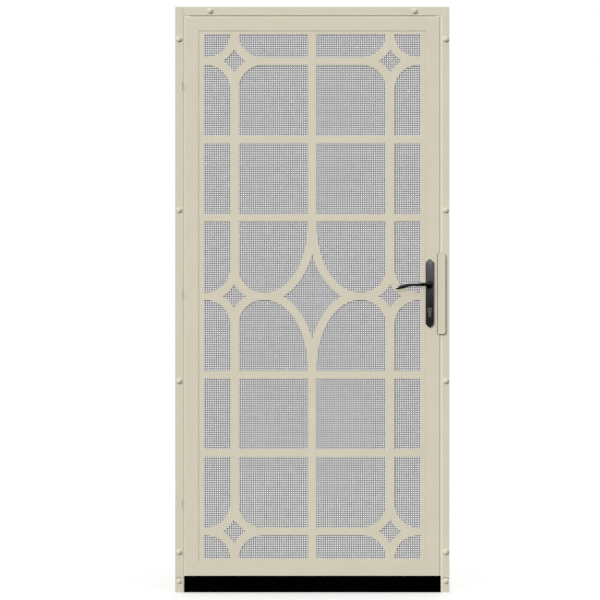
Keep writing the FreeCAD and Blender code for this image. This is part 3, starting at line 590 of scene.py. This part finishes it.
def add_top_seal(shape):
    """Seal along the top of the leaf, with a taller pad at each corner."""
    low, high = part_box("hinge_stile")
    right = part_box("lock_stile")[1].x
    front = low.y + SEAL_BEHIND_FRONT
    for x, side in ((low.x, 1), (right, -1)):
        add_strip(shape, Vector((x, front, high.z)), LOCK_SIDE * (side * SEAL_PAD), UP, SEAL_PAD_TALL)
    length = LOCK_SIDE * (right - low.x - 2 * SEAL_PAD)
    add_strip(shape, Vector((low.x + SEAL_PAD, front, high.z)), length, UP, LEAF_SEAL_TOP)


def add_rail_bead(shape):
    """Bead along the lower edge of the leaf."""
    low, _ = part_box("hinge_stile")
    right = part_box("lock_stile")[1].x
    start = Vector((low.x, low.y + RAIL_BEAD_BACK, low.z + RAIL_BEAD_UP))
    add_strip(shape, start, LOCK_SIDE * (right - low.x), UP, RAIL_BEAD, RAIL_BEAD_DEEP)


def make_leaf_seals():
    """Seals that ride on the leaf, and the bead along its lower edge."""
    shape = bmesh.new()
    add_hinge_side_seal(shape)
    add_top_seal(shape)
    add_rail_bead(shape)
    add_piece("leaf_seals", mesh_from(shape, "leaf_seals"), "almond_powder_coat", "leaf", "edge_seal")


def make_frame_seals():
    """Seals in the bends of the frame, narrow at the hinges and broken at the strike."""
    low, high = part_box("hinge_stile")
    left = low.x - EDGE_GAP - BEND_COVER
    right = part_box("lock_stile")[1].x + EDGE_GAP + BEND_COVER
    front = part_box("header")[0].y
    top = high.z + EDGE_GAP
    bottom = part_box("door_sweep")[0].z
    shape = bmesh.new()
    hinges = nodes_named("hinge_clevis")
    for run in clear_runs(bottom, top, hinges):
        add_upright(shape, left, front, run, 1, BEND_COVER + FRAME_SEAL_HINGE)
    for hinge in hinges:
        add_upright(shape, left, front, break_at(hinge), 1, BEND_COVER)
    add_upright(shape, right, front, (bottom, low.z), -1, BEND_COVER + FRAME_SEAL_FOOT)
    for run in clear_runs(low.z, top, ["strike_plate"]):
        add_upright(shape, right, front, run, -1, BEND_COVER + FRAME_SEAL_LOCK)
    start = Vector((left, front, top + BEND_COVER))
    add_strip(shape, start, LOCK_SIDE * (right - left), DOWN, BEND_COVER + FRAME_SEAL_TOP)
    add_piece("frame_seals", mesh_from(shape, "frame_seals"), "almond_powder_coat", "frame", "edge_seal")


def make_sweep_ends():
    """Rubber that closes the two ends of the bottom expander."""
    low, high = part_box("bottom_expander")
    run = (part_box("door_sweep")[0].z, high.z)
    front = low.y - SWEEP_END_PROUD
    shape = bmesh.new()
    add_upright(shape, low.x, front, run, -1, SWEEP_END_HINGE)
    add_upright(shape, high.x, front, run, 1, SWEEP_END_LOCK)
    add_piece("sweep_ends", mesh_from(shape, "sweep_ends"), "black_rubber", "leaf")


def make_guard_gasket():
    """Dark gasket behind the latch guard, in the guard's outline but a little larger."""
    low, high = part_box("latch_guard")
    left, right = low.x - GASKET_SHOWS, high.x + GASKET_SHOWS
    bottom, top = low.z - GASKET_SHOWS, high.z + GASKET_SHOWS
    inner, outer = GASKET_CORNERS
    corners = (
        (right - outer, top - outer, outer),
        (left + inner, top - inner, inner),
        (left + inner, bottom + inner, inner),
        (right - outer, bottom + outer, outer),
    )
    shape = bmesh.new()
    rims = ([], [])
    for quarter, (x, z, radius) in enumerate(corners):
        for i in range(GASKET_STEPS + 1):
            turn = math.pi / 2 * (quarter + i / GASKET_STEPS)
            for rim, y in zip(rims, (high.y, high.y + GASKET_THICK)):
                place = (x + radius * math.cos(turn), y, z + radius * math.sin(turn))
                rim.append(shape.verts.new(place))
    for rim in rims:
        shape.faces.new(rim)
    join_rings(shape, *rims)
    add_piece("guard_gasket", mesh_from(shape, "guard_gasket"), "black_rubber", "leaf", "foot_seam")


# Beads

def add_bead(shape, path, facing, section, width, proud):
    """Bead along a path of places and directions across it, which stands out along facing."""
    rings = []
    for place, across in path:
        points = [place + across * (side * width / 2) + facing * (out * proud) for side, out in section]
        rings.append([shape.verts.new(point) for point in points])
    for one, other in zip(rings, rings[1:]):
        join_rings(shape, one, other)
    shape.faces.new(rings[0])
    shape.faces.new(rings[-1])


def make_foot_seams(centres):
    """Dark bead along the arch over each foot screw, from the outer edge of the flange to its bend."""
    low, high = CAD_BOX
    middle = (low.x + high.x) / 2
    first = math.acos(SEAM_BEND)
    shape = bmesh.new()
    for centre in centres:
        inward = 1 if centre.x < middle else -1
        outer = abs((low.x if inward > 0 else high.x) - centre.x)
        last = math.pi - math.acos(outer / (SEAM_RADIUS + SEAM_WIDTH / 2))
        path = []
        for i in range(SEAM_STEPS + 1):
            turn = first + (last - first) * i / SEAM_STEPS
            across = Vector((inward * math.cos(turn), 0.0, math.sin(turn)))
            path.append((centre + across * SEAM_RADIUS, across))
        add_bead(shape, path, FRONT, SEAM_SECTION, SEAM_WIDTH, SEAM_PROUD)
    add_piece("foot_seams", mesh_from(shape, "foot_seams"), "black_rubber", "frame", "foot_seam")


def make_weld_beads():
    """Low beads along the mitres on the rear of the leaf; those on its front are ground flush."""
    low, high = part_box("hinge_stile")
    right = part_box("lock_stile")[1].x
    width = high.x - low.x
    shape = bmesh.new()
    for x, side in ((low.x, 1), (right, -1)):
        for z, rise in ((low.z, 1), (high.z, -1)):
            corner = Vector((x, high.y, z))
            slope = Vector((side, 0.0, rise))
            across = Vector((-rise, 0.0, side)).normalized()
            path = [(corner + slope * inset, across) for inset in (WELD_INSET, width - WELD_INSET)]
            add_bead(shape, path, -FRONT, WELD_SECTION, WELD_WIDTH, WELD_PROUD)
    add_piece("weld_beads", mesh_from(shape, "weld_beads"), "almond_powder_coat", "leaf")


# Screws

def add_turned(shape, profile, centre, facing):
    """Turned form: pairs of radius and height along its axis, from the rim to the middle."""
    side = facing.orthogonal().normalized()
    up = facing.cross(side)
    rings = []
    for radius, height in profile:
        middle = centre + facing * height
        if radius == 0:
            rings.append([shape.verts.new(middle)])
            continue
        ring = []
        for i in range(SCREW_SIDES):
            turn = 2 * math.pi * i / SCREW_SIDES
            ring.append(shape.verts.new(middle + (side * math.cos(turn) + up * math.sin(turn)) * radius))
        rings.append(ring)
    for outer, inner in zip(rings, rings[1:]):
        for i in range(SCREW_SIDES):
            following = (i + 1) % SCREW_SIDES
            corners = [outer[i], outer[following]]
            if len(inner) == 1:
                corners.append(inner[0])
            else:
                corners += [inner[following], inner[i]]
            shape.faces.new(corners)
    shape.faces.new(rings[0])


def screw_profile(radius, height, recess, deep):
    """Pan head: steep sides that round into a nearly flat face, with a round recess in the middle."""
    turns = [math.radians(angle) for angle in SCREW_DOME]
    dome = [(radius * math.sqrt(math.cos(turn)), height * math.sqrt(math.sin(turn))) for turn in turns]
    return dome + [(recess, height), (recess, height - deep), (0.0, height - deep)]


def make_screws(name, sizes, centres, facing, slot, body, finish=None):
    """One piece with a screw head at each centre."""
    shape = bmesh.new()
    for centre in centres:
        add_turned(shape, screw_profile(*sizes), centre, facing)
    add_piece(name, mesh_from(shape, name), slot, body, finish)


def bolt_places(mount):
    """Centres of a bolt pattern's holes on the front of the frame's flange."""
    dims = mount["dims"]
    x, _, z = mount["pos_m"]
    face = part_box("header")[0].y
    half_x = dims["spacing_x_mm"] * MM / 2
    half_z = dims.get("spacing_y_mm", 0) * MM / 2
    rows = (-half_z, half_z) if half_z else (0.0,)
    return [Vector((x + side, face, z + row)) for side in (-half_x, half_x) for row in rows]


def make_wall_screws():
    """Screws in the flange and in the feet of the frame, with the seam over each foot."""
    mounts = [mount for mount in RECORD["mounts"] if mount["kind"] == "bolt_pattern"]
    patterns = {mount["name"]: bolt_places(mount) for mount in mounts}
    feet = patterns.pop("foot_screws")
    others = [place for places in patterns.values() for place in places]
    make_screws("wall_screws", WALL_SCREW, others, FRONT, "almond_powder_coat", "frame", "screw_paint")
    make_screws("foot_screw_heads", FOOT_SCREW, feet, FRONT, "almond_powder_coat", "frame", "screw_paint")
    make_foot_seams(feet)


def end_places(node, facing, inset):
    """Places near the two ends of an upright plate, on the face that looks along facing."""
    low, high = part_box(node)
    thickness = abs(facing.dot(high - low))
    face = (low + high) / 2 + facing * (thickness / 2)
    return [Vector((face.x, face.y, z)) for z in (low.z + inset, high.z - inset)]


def make_lock_screws():
    """Screws of the lock's faceplate, of the strike and of the plate inside."""
    faceplate = end_places("lock_faceplate", LOCK_SIDE, LOCK_SCREW_INSET)
    make_screws("faceplate_screws", PLATE_SCREW, faceplate, LOCK_SIDE, "lock_steel", "leaf")
    strike = end_places("strike_plate", -LOCK_SIDE, LOCK_SCREW_INSET)
    make_screws("strike_screws", PLATE_SCREW, strike, -LOCK_SIDE, "lock_steel", "frame")
    inside = end_places("escutcheon_inside", -FRONT, PLATE_SCREW_INSET)
    make_screws("plate_screws", PLATE_SCREW, inside, -FRONT, "bronze", "leaf")


def make_retainer_screws():
    """Screws along the lips that hold the mesh, at even spacing."""
    centres = []
    for node in nodes_named("mesh_retainer"):
        low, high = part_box(node)
        middle = (low + high) / 2
        size = high - low
        along = LOCK_SIDE * size.x if size.x > size.z else UP * size.z
        count = round(along.length / RETAINER_SPACING)
        lip = Vector((middle.x, low.y + RETAINER_SHEET, middle.z))
        centres += [lip + along * ((i + 0.5) / count - 0.5) for i in range(count)]
    slot = "almond_powder_coat"
    make_screws("retainer_screws", RETAINER_SCREW, centres, -FRONT, slot, "leaf", "screw_paint")


# Levers

def round_levers():
    """The levers are castings: their edges run into each other."""
    for name in ("lever_outside", "lever_inside"):
        remesh = NODES[name].modifiers.new("cast", "REMESH")
        remesh.mode = "VOXEL"
        remesh.voxel_size = CAST_GRID
        remesh.use_smooth_shade = True
        smooth = NODES[name].modifiers.new("soft", "SMOOTH")
        smooth.factor = CAST_SMOOTHING
        smooth.iterations = CAST_PASSES


# Studio

def make_floor():
    """Plain white floor, which throws no light on the door and doesn't show in its reflections."""
    low, _ = CAD_BOX
    middle = Vector((PHOTO_MIDDLE_X, 0.0, low.z))
    ways = ((-1, -1), (1, -1), (1, 1), (-1, 1))
    corners = [middle + Vector((x, y, 0.0)) * FLOOR_REACH for x, y in ways]
    mesh = bpy.data.meshes.new("floor")
    mesh.from_pydata(corners, [], [(0, 1, 2, 3)])
    material, _, shader = new_material("floor")
    shader.inputs["Base Color"].default_value = (*FLOOR, 1.0)
    shader.inputs["Roughness"].default_value = FLOOR_ROUGHNESS
    shader.inputs["Emission Color"].default_value = WHITE
    shader.inputs["Emission Strength"].default_value = FLOOR_GLOW
    mesh.materials.append(material)
    floor = bpy.data.objects.new("floor", mesh)
    bpy.context.scene.collection.objects.link(floor)
    floor.visible_diffuse = False
    floor.visible_glossy = False
    return floor


def sky_light(tree):
    """Light of the sky, which grows with the height of the direction."""
    coordinates = tree.nodes.new("ShaderNodeTexCoord")
    split = tree.nodes.new("ShaderNodeSeparateXYZ")
    lowest, highest = SKY[0][0], SKY[-1][0]
    rise = tree.nodes.new("ShaderNodeMapRange")
    rise.inputs["From Min"].default_value = lowest
    rise.inputs["From Max"].default_value = highest
    places = [(height - lowest) / (highest - lowest) for height, _ in SKY]
    ramp = tree.nodes.new("ShaderNodeValToRGB")
    steps = ramp.color_ramp.elements
    for place in places[1:-1]:
        steps.new(place)
    for step, place, (_, strength) in zip(steps, places, SKY):
        step.position = place
        step.color = (strength, strength, strength, 1.0)
    light = tree.nodes.new("ShaderNodeBackground")
    tree.links.new(coordinates.outputs["Generated"], split.inputs["Vector"])
    tree.links.new(split.outputs["Z"], rise.inputs["Value"])
    tree.links.new(rise.outputs["Result"], ramp.inputs["Fac"])
    tree.links.new(ramp.outputs["Color"], light.inputs["Color"])
    return light.outputs["Background"]


def make_sky():
    """White behind the door, and a soft light that is stronger from above."""
    world = bpy.data.worlds.new("studio")
    bpy.context.scene.world = world
    world.use_nodes = True
    tree = world.node_tree
    seen = tree.nodes["Background"]
    seen.inputs["Color"].default_value = WHITE
    path = tree.nodes.new("ShaderNodeLightPath")
    mix = tree.nodes.new("ShaderNodeMixShader")
    tree.links.new(path.outputs["Is Camera Ray"], mix.inputs["Fac"])
    tree.links.new(sky_light(tree), mix.inputs[1])
    tree.links.new(seen.outputs["Background"], mix.inputs[2])
    tree.links.new(mix.outputs["Shader"], tree.nodes["World Output"].inputs["Surface"])


def linked(name, state, objects):
    """Collection that lets a light see only the given objects, or all but them."""
    group = bpy.data.collections.new(name)
    for item in objects:
        group.objects.link(item)
    for row in group.collection_objects:
        row.light_linking.link_state = state
    return group


def add_light(data, towards, lit):
    """Add a light that shines along a direction on what the collection lets it see."""
    light = bpy.data.objects.new(data.name, data)
    light.rotation_mode = "QUATERNION"
    light.rotation_quaternion = towards.to_track_quat("-Z", "Y")
    light.light_linking.receiver_collection = lit
    bpy.context.scene.collection.objects.link(light)
    return light


def add_sun(name, start, strength, softness, lit):
    """Add an even light that comes from the side of start."""
    sun = bpy.data.lights.new(name, "SUN")
    sun.energy = strength
    sun.angle = softness
    return add_light(sun, -start, lit)


def make_lights(floor):
    """Suns that leave out the floor; the key light also leaves out the plates and the levers' shadow."""
    all_but_floor = linked("all_but_floor", "EXCLUDE", [floor])
    levers = [NODES["lever_outside"], NODES["lever_inside"], NODES["spindle"]]
    plates = [NODES["escutcheon_outside"], NODES["escutcheon_inside"]]
    key_lit = linked("all_but_floor_and_plates", "EXCLUDE", [floor] + plates)
    key = add_sun("key", KEY_FROM, KEY_STRENGTH, KEY_SOFTNESS, key_lit)
    key.light_linking.blocker_collection = linked("all_but_levers", "EXCLUDE", levers)
    fill = add_sun("fill", FILL_FROM, FILL_STRENGTH, FILL_SOFTNESS, all_but_floor)
    fill.visible_glossy = False
    back = add_sun("back", BACK_FROM, BACK_STRENGTH, BACK_SOFTNESS, all_but_floor)
    back.visible_glossy = False


def make_soft_box():
    """Box of light overhead that falls on the handle alone, for its reflections."""
    box = bpy.data.lights.new("soft_box", "AREA")
    box.shape = "RECTANGLE"
    box.size, box.size_y = BOX_SIZE
    box.energy = BOX_POWER
    handle = [NODES[row["node"]] for row in RECORD["subparts"] if row["material_slot"] == "bronze"]
    overhead = add_light(box, DOWN, linked("handle", "INCLUDE", handle))
    overhead.location = BOX_PLACE
    overhead.visible_diffuse = False


def make_camera():
    """Level camera in front of the middle of the door, shifted to the photograph's frame."""
    low, high = CAD_BOX
    middle = (low.x + high.x) / 2
    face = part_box("hinge_stile")[0].y
    data = bpy.data.cameras.new("camera")
    data.sensor_width = SENSOR
    data.lens = SENSOR * CAMERA_DISTANCE / PHOTO_SPAN
    data.shift_x = (PHOTO_MIDDLE_X - middle) / PHOTO_SPAN
    camera = bpy.data.objects.new("camera", data)
    camera.location = (middle, face - CAMERA_DISTANCE, PHOTO_MIDDLE_Z)
    camera.rotation_euler = (math.pi / 2, 0.0, 0.0)
    bpy.context.scene.collection.objects.link(camera)
    bpy.context.scene.camera = camera
    bpy.context.scene.view_settings.view_transform = "Standard"


finish_nodes()
make_woven_mesh()
make_leaf_seals()
make_frame_seals()
make_sweep_ends()
make_weld_beads()
make_wall_screws()
make_lock_screws()
make_retainer_screws()
make_guard_gasket()
round_levers()
make_lights(make_floor())
make_soft_box()
make_sky()
make_camera()
